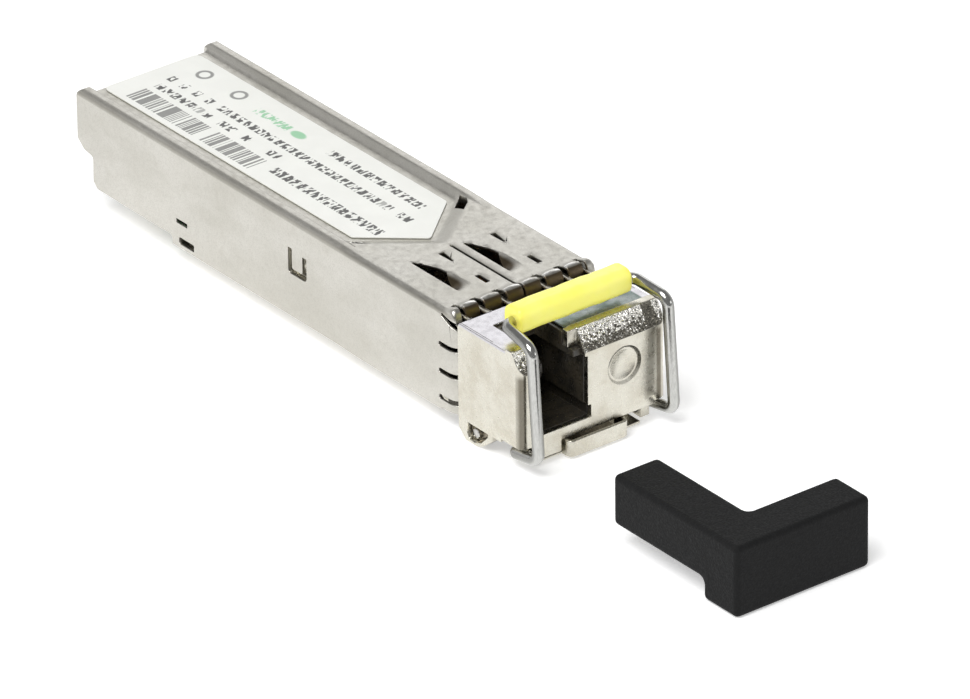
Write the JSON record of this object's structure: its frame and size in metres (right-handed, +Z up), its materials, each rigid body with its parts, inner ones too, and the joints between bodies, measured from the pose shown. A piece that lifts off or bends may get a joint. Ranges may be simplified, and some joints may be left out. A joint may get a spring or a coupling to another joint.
{
  "type": "optical transceiver module",
  "caption": "Pluggable optical transceiver: steel shell, die-cast nose with a fibre port, wire bail latch with a coloured sleeve, board edge connector and a rubber dust plug.",
  "frame": {"origin": "on the module's bottom face, in its middle plane, 30 mm behind the foremost line of the latch wire", "axes": "+Z up, +Y towards the board edge connector at the rear, +X to the right as seen from the port"},
  "size_m": [0.015, 0.082, 0.0122],
  "materials": {
    "nickel_casting": "satin nickel plate on die casting",
    "plated_sheet": "matt nickel plate on stamped steel",
    "label_paper": "satin printed film",
    "black_plastic": "moulded, slightly glossy",
    "steel": "turned and stamped steel",
    "ceramic": "polished zirconia",
    "gold": "gold plate",
    "flex_film": "polyimide flexible circuit",
    "board_green": "solder mask",
    "chip_black": "moulded epoxy",
    "passive_tan": "fired ceramic chip",
    "silicone_pad": "soft gap filler",
    "wire_steel": "drawn and polished stainless wire",
    "yellow_plastic": "soft glossy sleeve",
    "black_rubber": "matt moulded rubber"
  },
  "bodies": {
    "module": {"base_casting": "nickel_casting", "top_cover": "plated_sheet", "label": "label_paper", "port_insert": "black_plastic", "receptacle_barrel": "steel", "ceramic_sleeve": "ceramic", "fibre_stub": "ceramic", "receptacle_clamp": "steel", "bosa_body": "steel", "laser_can": "gold", "photodiode_can": "gold", "laser_flex": "flex_film", "photodiode_flex": "flex_film", "circuit_board": "board_green", "edge_contacts_top": "gold", "edge_contacts_bottom": "gold", "laser_driver_chip": "chip_black", "limiting_amplifier_chip": "chip_black", "microcontroller_chip": "chip_black", "memory_chip": "chip_black", "power_inductor": "passive_tan", "capacitor_1": "passive_tan", "capacitor_2": "passive_tan", "capacitor_3": "passive_tan", "thermal_pad": "silicone_pad", "rocker_pin": "wire_steel", "rocker_spring": "wire_steel"},
    "bail": {"bail_wire": "wire_steel", "bail_sleeve": "yellow_plastic"},
    "rocker": {"latch_rocker": "nickel_casting"},
    "plug": {"dust_plug": "black_rubber"}
  },
  "joints": [
    {"name": "bail_swing", "type": "hinge", "parent": "module", "child": "bail", "pos_m": [0, -0.027, -0.00022], "axis": [1, 0, 0], "range_deg": [0, 90]},
    {"name": "rocker_tilt", "type": "hinge", "parent": "module", "child": "rocker", "pos_m": [0, -0.0228, -0.0004], "axis": [1, 0, 0], "range_deg": [0, 6], "deforming": ["rocker_spring"]},
    {"name": "plug_pull", "type": "slide", "parent": "module", "child": "plug", "axis": [0, -1, 0], "range_m": [0, 0.02]}
  ],
  "couplings": [
    {"joint": "rocker_tilt", "follows": "bail_swing", "ratio": 0.0655}
  ]
}
